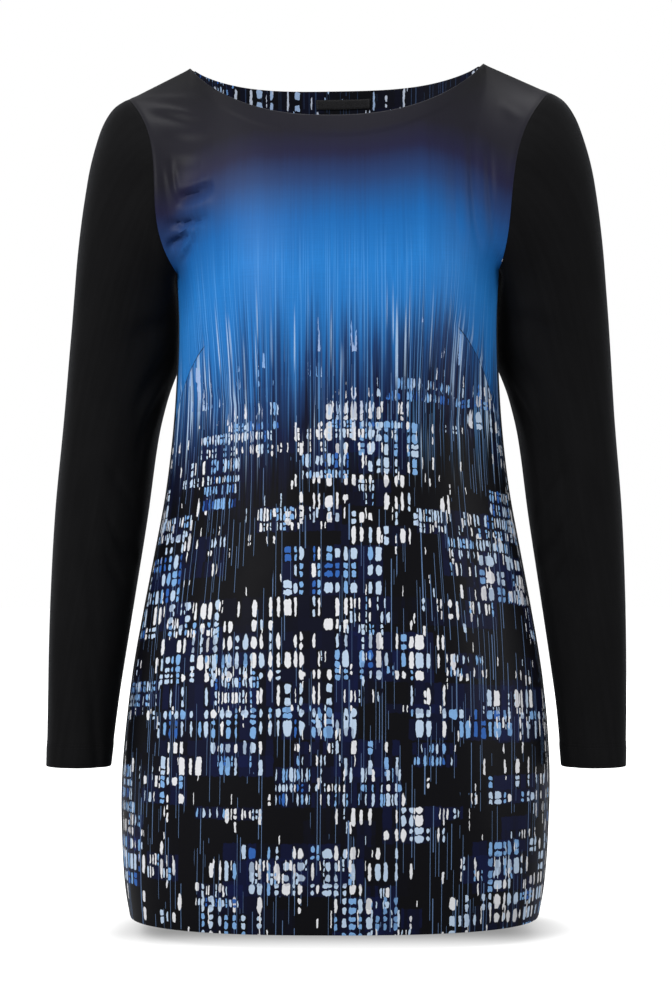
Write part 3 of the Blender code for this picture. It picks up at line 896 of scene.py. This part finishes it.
# front and back panels
seams = {"roll": 0.7, "rollWidth": 2.4, "easeUnderarm": 0.9, "underarmSpread": 45}
dartShape = {"seamDip": 1.1, "seamWidth": 2.6, "acrossSeam": 0.75, "tipDip": 0.8, "tipSpread": 60,
             "begins": 14}
frontPanel = {
    "rimRound": 0.28, "creasesBeginIn": 9,
    "facingEdge": 21.0, "facingStep": 0.35, "facingReach": 118, "facingFade": 18,
    "weftSag": 16.0, "sagFrom": (200, 180), "sagEnds": (740, 220),
    # creases: two ends (across, drop), bow, width, depth
    "creases": [
        (-148, 128, -112, 117, 2, 5.2, 4.3), (-158, 151, -114, 147, 1.5, 4.0, 4.6),
        (-160, 174, -131, 161, -1.5, 4.6, 4.8), (-147, 186, -130, 158, 1, 2.8, -1.7),
        (-140, 188, -126, 156, 1, 3.2, 2.4),
        (-150, 140, -112, 131, 3, 5, -1.7), (-152, 92, -146, 130, 1, 3.5, 1.3),
        (-160, 100, -153, 140, 1, 3.5, 1.0),
        (-182, 39, -126, 51, -2, 4, -1.2), (-180, 30, -120, 34, -1.5, 4, -0.9),
        (-176, 48, -118, 62, -2, 5, 1.1),
        (-164, 70, -112, 76, 2, 7, 0.9), (-160, 92, -124, 96, 2, 6, 0.8),
        (124, 62, 130, 184, 3, 5.5, 2.3), (138, 80, 144, 176, 2, 4.5, 1.9),
        (108, 70, 112, 196, 2, 7, 1.3),
        (92, 34, 97, 110, 0, 7, 0.9), (70, 120, 74, 200, 2, 9, 0.7), (150, 40, 168, 60, 1, 5, -0.9),
        (-95, 420, -122, 770, 6, 20, 2.2), (-34, 500, -30, 786, -4, 24, 1.8),
        (58, 460, 80, 775, 5, 22, 2.1), (128, 390, 162, 740, 8, 17, 1.9),
        (-146, 370, -176, 700, -6, 15, 1.7),
        (18, 330, 30, 600, 3, 20, 1.0), (-70, 300, -60, 470, -3, 16, 1.0),
        (-132, 300, -60, 330, 4, 9, 1.0), (136, 330, 70, 352, 4, 9, 1.0),
    ],
}
backPanel = {
    "rimRound": 0.28, "creasesBeginIn": 9,
    "creases": [
        (-152, 96, -108, 116, 3, 6, 2.7), (-154, 126, -104, 146, 3, 6, 3.2),
        (-152, 160, -114, 178, 2, 5.5, 2.5),
        (150, 92, 104, 110, -3, 6, 2.9), (152, 130, 110, 148, -2, 6, 2.7),
        (152, 158, 118, 182, -3, 6, 2.5),
        (-104, 304, 36, 316, 6, 9, 3.2), (-44, 340, 102, 328, -6, 9, 3.4),
        (-118, 366, 12, 376, 5, 10, 2.8),
        (16, 392, 124, 380, -5, 10, 2.6), (-84, 336, -10, 344, -3, 8, 2.2),
        (-80, 430, -110, 776, 6, 20, 3.4), (-8, 470, -14, 780, -4, 24, 2.8),
        (72, 440, 96, 778, 5, 20, 3.2),
        (138, 400, 168, 740, 8, 16, 2.5), (-142, 390, -170, 720, -7, 16, 2.6),
        (-60, 60, -52, 210, 3, 12, 1.5), (64, 70, 58, 220, -3, 12, 1.5),
        (4, 90, -2, 240, 4, 14, 1.1),
    ],
}


def refinedPanel(neck, sideArmholes, isFront):
    grid, through, edgeMoves = coarsePanel(neck, sideArmholes, isFront)
    rows, columns = grid.shape[:2]
    middle = columns // 2
    rowPlaces, columnPlaces = finePlaces(rows - 1), finePlaces(columns - 1)
    neckColumns = [middle - cut["neckColumns"], middle + cut["neckColumns"]]
    cornerWeight = np.zeros((rows, 1))
    cornerWeight[0], cornerWeight[1] = 1, 0.35
    across = smoothThrough(grid.transpose(1, 0, 2), columnPlaces, False, neckColumns, cornerWeight)
    outer = smoothThrough(across.transpose(1, 0, 2), rowPlaces)

    # the edges follow the exact curves of the cut
    exactTop = np.array([topEdge(neck, abs(p)) * [np.sign(p) or 1, 1, 1]
                         for p in columnPlaces - middle])
    fade = (np.maximum(1 - rowPlaces, 0) ** 2)[:, None, None]
    outer = outer + fade * (exactTop - outer[0])[None]
    for armhole, edge, sign in ((sideArmholes[0], -1, 1), (sideArmholes[1], 0, -1)):
        exact = np.array([sidePoint(armhole, p) for p in rowPlaces]) * [sign, 1, 1]
        distance = columns - 1 - columnPlaces if edge == -1 else columnPlaces
        fade = (np.maximum(1 - distance, 0) ** 2)[None, :, None]
        outer = outer + fade * (exact - outer[:, edge])[:, None]
    outer = outer + refined(edgeMoves, rowPlaces, columnPlaces)
    return outer, unit(refined(through, rowPlaces, columnPlaces)), rowPlaces, columnPlaces, middle


def bump(distance, width):
    # 1 on a line and nothing a little way from it
    return np.exp(-(distance / width) ** 2)


def frontDetails(across, drop, x, fromTop, settings):
    # the edge of the neck facing, the darts and the sag of the print's rows
    edge = ease((fromTop - settings["facingEdge"]) / 3)
    besideNeck = 1 - ease((abs(x) - settings["facingReach"]) / settings["facingFade"])
    pressed = -settings["facingStep"] * (1 - edge) * besideNeck
    for dart in darts.values():
        past = (drop - dartLine(dart, across)) * dartShape["acrossSeam"]
        fromTip = dart["side"] * across - dart["tip"]
        begun = ease(fromTip / dartShape["begins"])
        pressed += dartShape["seamDip"] * begun * bump(past, dartShape["seamWidth"])
        tip = fromTip**2 + (drop - dart["tipDrop"]) ** 2
        pressed += dartShape["tipDip"] * np.exp(-tip / dartShape["tipSpread"])
    half = np.maximum(abs(across[:, :1]), 1)
    (start, run), (end, endRun) = settings["sagFrom"], settings["sagEnds"]
    sag = settings["weftSag"] * (across / half) ** 2
    return pressed, sag * ease((drop - start) / run) * ease((end - drop) / endRun)


def panelShell(node, neck, sideArmholes, isFront, settings, materialPair):
    outer, through, rowPlaces, columnPlaces, middle = refinedPanel(neck, sideArmholes, isFront)
    fromLeft, fromRight, fromTop, fromHem = edgeDistances(outer)
    across = fromLeft - fromLeft[:, [int(np.argmin(abs(columnPlaces - middle)))]]
    x, drop = outer[..., 0], -outer[..., 2]
    pressed = creaseField(x, drop, settings["creases"])
    pressed *= ease(np.minimum(fromLeft, fromRight) / settings["creasesBeginIn"])
    atSides = bump(fromLeft, seams["rollWidth"]) + bump(fromRight, seams["rollWidth"])
    underarm = bump(drop - cut["underarmDrop"], seams["underarmSpread"])
    pressed += seams["roll"] * atSides * (1 - seams["easeUnderarm"] * underarm)
    onShoulder = ease((abs(columnPlaces - middle) - cut["neckColumns"]) / 0.3)[None]
    pressed += seams["roll"] * bump(fromTop, seams["rollWidth"]) * onShoulder
    down = -fromHem
    if isFront:
        details, sag = frontDetails(across, drop, x, fromTop, settings)
        pressed += details
        down = drop - sag
    shape = outer + pressed[..., None] * through
    rim = bump(fromHem, 0.5) + bump(fromTop, 0.5) * (1 - onShoulder)
    rim = settings["rimRound"] * rim[..., None]
    skin, lining = shape + rim * through, shape + (cut["wall"] - rim) * through
    flat = np.stack([(across - across.min()) / np.ptp(across),
                     1 - (drop - drop.min()) / np.ptp(drop)], axis=-1)
    place = np.stack([across, down], axis=-1)
    piece = clothShell(node, skin, lining, place, flat, materialPair)
    return piece, skin, through, rowPlaces, columnPlaces


frontShell, frontSkin, *_ = panelShell(
    "front_panel", frontNeck, (armholes["frontRight"], armholes["frontLeft"]),
    True, frontPanel, materials["satin"])
print("front panel made")
backShell, backSkin, backThrough, backRows, backColumns = panelShell(
    "back_panel", backNeck, (armholes["back"], armholes["back"]),
    False, backPanel, materials["jersey"])
print("back panel made")

# sleeves
sleeve = {
    "turnCells": 6, "rimRound": 0.3, "creasesBeginIn": 12, "underarmDegrees": 32,
    "hemBand": 21, "hemStandsOut": 0.55, "hemFold": 0.35, "hemFoldWidth": 1.1,
    "seamDip": 0.45, "seamWidth": 1.6, "seamFrom": (30, 40),
    "airAtBody": 1.5, "leanDepth": 20, "leanSpread": 15, "leanMost": 7.5, "leanFrom": 180,
    "leanUntil": (70, 60),
    # creases: two ends (degrees from the shoulder line by the front, mm down), bow, width, depth
    "creases": [
        (150, 60, 96, 150, 6, 7, 2.1), (156, 84, 116, 190, 5, 7, 2.3),
        (160, 120, 130, 215, 4, 7, 1.8),
        (152, 246, 92, 266, 4, 8, 2.0), (160, 280, 98, 300, -4, 8, 2.3),
        (152, 322, 102, 332, 3, 8, 1.9),
        (70, 300, 110, 420, 6, 13, 1.5), (104, 430, 150, 530, 3, 10, 1.5),
        (60, 470, 84, 590, 4, 12, 1.2),
        (206, 76, 262, 150, -6, 7, 2.5), (204, 110, 250, 200, -5, 8, 2.3),
        (210, 262, 268, 282, -4, 8, 2.6),
        (204, 296, 262, 318, 4, 8, 2.4), (214, 336, 270, 346, -3, 8, 2.0),
        (290, 320, 256, 450, -6, 13, 1.7),
        (236, 470, 280, 580, 5, 12, 1.5),
    ],
}


def bodyHalfAt(drop, y):
    # how far out the body's cloth is at a drop and a depth
    half = np.interp(drop, bodyWidths["drop"], bodyWidths["half"])
    front, back = (np.interp(drop, bodyDepths["drop"], bodyDepths[side])
                   for side in ("front", "back"))
    squareness = cut["underarmSquareness"]
    inside = 1 - (abs(y) / np.where(y < 0, front, back)) ** squareness
    return half * np.clip(inside, 0, 1) ** (1 / squareness)


def againstBody(outer, turns, settings):
    # below the underarm the sleeve lies against the side of the body
    y, drop, fromTop = outer[..., 1], -outer[..., 2], arcLengths(outer, 0)
    room = outer[..., 0] - bodyHalfAt(drop, y) - settings["airAtBody"]
    atInside = (1 - np.cos(turns)) / 2
    until, fade = settings["leanUntil"]
    near = bump(y - settings["leanDepth"], settings["leanSpread"])
    near = near * ease((atInside - 0.6) / 0.25)[None] * ease(fromTop / 7)
    near = near * (1 - ease((fromTop - until) / fade)) * ease((drop - settings["leanFrom"]) / 10)
    moved = outer.copy()
    moved[..., 0] -= np.clip(room, 0, settings["leanMost"]) * near
    return moved


def sleeveShell(node, frontArmhole, atRight, settings):
    rings, through = coarseSleeve(frontArmhole)
    rows, columns = rings.shape[:2]
    rowPlaces = finePlaces(rows - 1)
    turnPlaces = np.linspace(0, columns, columns * settings["turnCells"], endpoint=False)
    turns = turnPlaces / cut["armholeRows"] * math.pi
    outer = refined(rings, rowPlaces, turnPlaces, closed=True)
    leaned = unit(refined(through, rowPlaces, turnPlaces, closed=True))
    fade = (np.maximum(1 - rowPlaces, 0) ** 2)[:, None, None]
    outer = outer + fade * (sleeveTop(frontArmhole, turns) - outer[0])[None]
    outer = againstBody(outer, turns, settings)
    _, _, fromTop, fromCuff = edgeDistances(outer)
    degrees = np.broadcast_to((turnPlaces / columns * 360)[None], fromTop.shape)
    girth = np.linalg.norm(np.diff(outer, axis=1), axis=-1).sum(axis=1)[:, None]
    perDegree = np.maximum(girth / 360, 0.3)
    pressed = np.zeros(fromTop.shape)
    for t0, d0, t1, d1, *form in settings["creases"]:
        scale = float(np.interp((d0 + d1) / 2, fromTop[:, 0], perDegree[:, 0]))
        pressed += creaseField(degrees * scale, fromTop, [(t0 * scale, d0, t1 * scale, d1, *form)])
    pressed *= ease(fromTop / settings["creasesBeginIn"])
    underarm = bump(degrees - 180, settings["underarmDegrees"])
    seamRoll = seams["roll"] * bump(fromTop, seams["rollWidth"])
    pressed += seamRoll * (1 - seams["easeUnderarm"] * underarm)
    aboveHem = fromCuff - settings["hemBand"]
    pressed -= settings["hemStandsOut"] * (1 - ease(aboveHem / 2.5))
    pressed += settings["hemFold"] * bump(aboveHem, settings["hemFoldWidth"])
    # the underarm seam
    toSeam = (degrees - 180) * perDegree
    start, run = settings["seamFrom"]
    seamDip = settings["seamDip"] * bump(toSeam, settings["seamWidth"])
    pressed += seamDip * ease((fromTop - start) / run)
    shape = outer + pressed[..., None] * leaned
    rim = (settings["rimRound"] * bump(fromCuff, 0.5))[..., None]
    skin, lining = shape + rim * leaned, shape + (cut["wall"] - rim) * leaned
    if not atRight:
        skin, lining = skin * [-1, 1, 1], lining * [-1, 1, 1]
    place = np.stack([toSeam, -fromCuff], axis=-1)
    flat = np.stack([degrees / 360, 1 - fromTop / fromTop.max()], axis=-1)
    piece = clothShell(node, skin, lining, place, flat, materials["jersey"], True)
    return piece, skin


rightSleeve, rightSkin = sleeveShell("sleeve_right", armholes["frontRight"], True, sleeve)
leftSleeve, leftSkin = sleeveShell("sleeve_left", armholes["frontLeft"], False, sleeve)
print("sleeves made")

# facing and label inside the back neck
facing = {"rows": 3, "stopsShort": 1, "rimRound": 0.3, "rimWidth": 0.6}
layersApart = 0.3


def gridAt(grid, row, column):
    # the back's fine grid, read between its places
    i = np.clip(np.searchsorted(backRows, row, side="right") - 1, 0, len(backRows) - 2)
    j = np.clip(np.searchsorted(backColumns, column, side="right") - 1, 0, len(backColumns) - 2)
    down = ((row - backRows[i]) / (backRows[i + 1] - backRows[i]))[..., None]
    side = ((column - backColumns[j]) / (backColumns[j + 1] - backColumns[j]))[..., None]
    upper = (1 - side) * grid[i, j] + side * grid[i, j + 1]
    lower = (1 - side) * grid[i + 1, j] + side * grid[i + 1, j + 1]
    return (1 - down) * upper + down * lower


def buildFacing():
    reach = cut["neckColumns"] - facing["stopsShort"]
    rows = backRows <= facing["rows"] + 1e-6
    columns = abs(backColumns - backColumns[-1] / 2) <= reach + 1e-6
    base, through = (grid[rows][:, columns] for grid in (backSkin, backThrough))
    fromLeft, fromRight, fromTop, fromLower = edgeDistances(base)
    across = fromLeft - fromLeft[:, -1:] / 2
    toSide = np.minimum(fromLeft, fromRight)
    edge = np.minimum(np.minimum(fromTop, fromLower), toSide)
    rim = (facing["rimRound"] * bump(edge, facing["rimWidth"]))[..., None]
    start = cut["wall"] + layersApart
    near, far = base + (start + rim) * through, base + (start + cut["facingWall"] - rim) * through
    place = np.stack([across, fromTop], axis=-1)
    flat = np.stack([(across - across.min()) / np.ptp(across),
                     1 - fromTop / fromTop.max()], axis=-1)
    return clothShell("back_neck_facing", near, far, place, flat,
                      materials["facing"], outerShare=0.3)


def buildLabel():
    rowDrop = (cut["underarmDrop"] - backNeck["drop"]) / cut["armholeRows"]
    columnWidth = cut["neckHalfWidth"] * math.sin(math.pi / 2 / cut["neckColumns"])
    down, side = np.meshgrid(np.linspace(0, 1, label["cellsDown"] + 1),
                             np.linspace(0, 1, label["cellsAcross"] + 1), indexing="ij")
    across, fromTop = side * label["width"], down * label["height"]
    row = (label["top"] + fromTop) / rowDrop
    offCentre = label["centre"] + across - label["width"] / 2
    column = backColumns[-1] / 2 + offCentre / columnWidth
    base, lean = gridAt(backSkin, row, column), unit(gridAt(backThrough, row, column))
    edge = np.minimum(np.minimum(across, label["width"] - across),
                      np.minimum(fromTop, label["height"] - fromTop))
    rim = label["rimRound"] * bump(edge, label["rimWidth"])
    # the sewn ends lie flat and the middle stands off a little
    start = cut["wall"] + cut["facingWall"] + 2 * layersApart
    start = start + label["lift"] * np.sin(np.pi * side) ** 2
    near, far = (base + (start + depth)[..., None] * lean
                 for depth in (rim, cut["labelWall"] - rim))
    return clothShell("neck_label", near, far, np.stack([across, fromTop], axis=-1),
                      np.stack([side, 1 - down], axis=-1), materials["label"], outerShare=0.5)


facingPiece = buildFacing()
labelPiece = buildLabel()
print("facing and label made")


# sheets
def clothArea(skin):
    a, b, c, d = skin[:-1, :-1], skin[:-1, 1:], skin[1:, :-1], skin[1:, 1:]
    halves = (np.cross(b - a, c - a), np.cross(b - d, c - d))
    return sum(np.linalg.norm(half, axis=-1).sum() for half in halves) / 2 * mm**2


for name, skin, closed in (("front", frontSkin, False), ("back", backSkin, False),
                           ("right", rightSkin, True), ("left", leftSkin, True)):
    widest, longest = (round(arcLengths(skin, axis).max()) for axis in (1, 0))
    whole = np.concatenate([skin, skin[:, :1]], axis=1) if closed else skin
    print("cut", name, "widest", widest, "longest", longest, "area", round(clothArea(whole), 4))

# stage, camera and light
stage = {"floorDrop": 0.802, "floorSize": 14.0, "floorTone": 0.3, "worldLight": 0.45,
         "shadow": 0.72, "shadowDepth": (0.02, 0.13), "shadowWidth": (0.15, 0.26)}
# the sensor's long side is the picture's height
camera = {"place": (0, -2.3, -0.4085), "lens": 88.3, "sensor": 36}
lightTarget = (0, 0, -0.4)
lights = {
    "keyLight": {"place": (-1.6, -2.2, 1.2), "size": (1.1, 1.1), "power": 58},
    "sideLight": {"place": (2.4, -0.9, 0.2), "size": (0.8, 1.6), "power": 14},
    "topLight": {"place": (0.2, 0.2, 2.2), "size": (1.4, 1.0), "power": 22},
    # no glint of these two on the edges of the neck
    "backLight": {"place": (-1.5, 2.1, 1.0), "size": (1.2, 1.2), "power": 52, "glint": False},
    "backFill": {"place": (0.7, 3.0, 0.5), "size": (1.6, 1.2), "power": 95, "glint": False},
}


def addObject(name, data):
    made = bpy.data.objects.new(name, data)
    bpy.context.scene.collection.objects.link(made)
    return made


def buildFloor():
    size, z = stage["floorSize"] / 2, -stage["floorDrop"]
    mesh = bpy.data.meshes.new("floor")
    mesh.from_pydata([(-size, -size, z), (size, -size, z), (size, size, z), (-size, size, z)],
                     [], [(0, 1, 2, 3)])
    material = bpy.data.materials.new("paleFloor")
    material.use_nodes = True
    tree = material.node_tree
    inputs = tree.nodes["Principled BSDF"].inputs
    finish = {"Base Color": (stage["floorTone"],) * 3 + (1,), "Roughness": 0.9,
              "Specular IOR Level": 0.1, "Emission Color": (1, 1, 1, 1)}
    for key, value in finish.items():
        inputs[key].default_value = value
    # the camera sees it white, with a painted shadow below the hem: a soft dark patch cut into its
    # glow
    x, y = splitXY(Signal(put(tree, "ShaderNodeTexCoord").outputs["Object"]))
    paintedShadow = between(abs(x), *stage["shadowWidth"], 1, 0)
    paintedShadow = paintedShadow * between(abs(y), *stage["shadowDepth"], 1, 0)
    seen = Signal(put(tree, "ShaderNodeLightPath").outputs["Is Camera Ray"])
    join(seen * (paintedShadow * -stage["shadow"] + 1), inputs["Emission Strength"])
    mesh.materials.append(material)
    addObject("floor", mesh)


def buildLight(name, settings):
    data = bpy.data.lights.new(name, "AREA")
    data.shape = "RECTANGLE"
    data.size, data.size_y = settings["size"]
    data.energy = settings["power"]
    light = addObject(name, data)
    light.location = settings["place"]
    aim = Vector(lightTarget) - light.location
    light.rotation_euler = aim.to_track_quat("-Z", "Y").to_euler()
    light.visible_glossy = settings.get("glint", True)


def buildWorld():
    world = bpy.data.worlds.new("studio")
    bpy.context.scene.world = world
    world.use_nodes = True
    inputs = world.node_tree.nodes["Background"].inputs
    inputs["Color"].default_value = (1, 1, 1, 1)
    seen = Signal(put(world.node_tree, "ShaderNodeLightPath").outputs["Is Camera Ray"])
    join(between(seen, 0, 1, stage["worldLight"], 1), inputs["Strength"])
    bpy.context.scene.view_settings.view_transform = "Standard"


def buildCamera():
    data = bpy.data.cameras.new("camera")
    data.sensor_width, data.lens = camera["sensor"], camera["lens"]
    made = addObject("camera", data)
    made.location = camera["place"]
    made.rotation_euler = (math.pi / 2, 0, 0)
    bpy.context.scene.camera = made


buildFloor()
buildWorld()
for name, settings in lights.items():
    buildLight(name, settings)
buildCamera()
print("stage made")
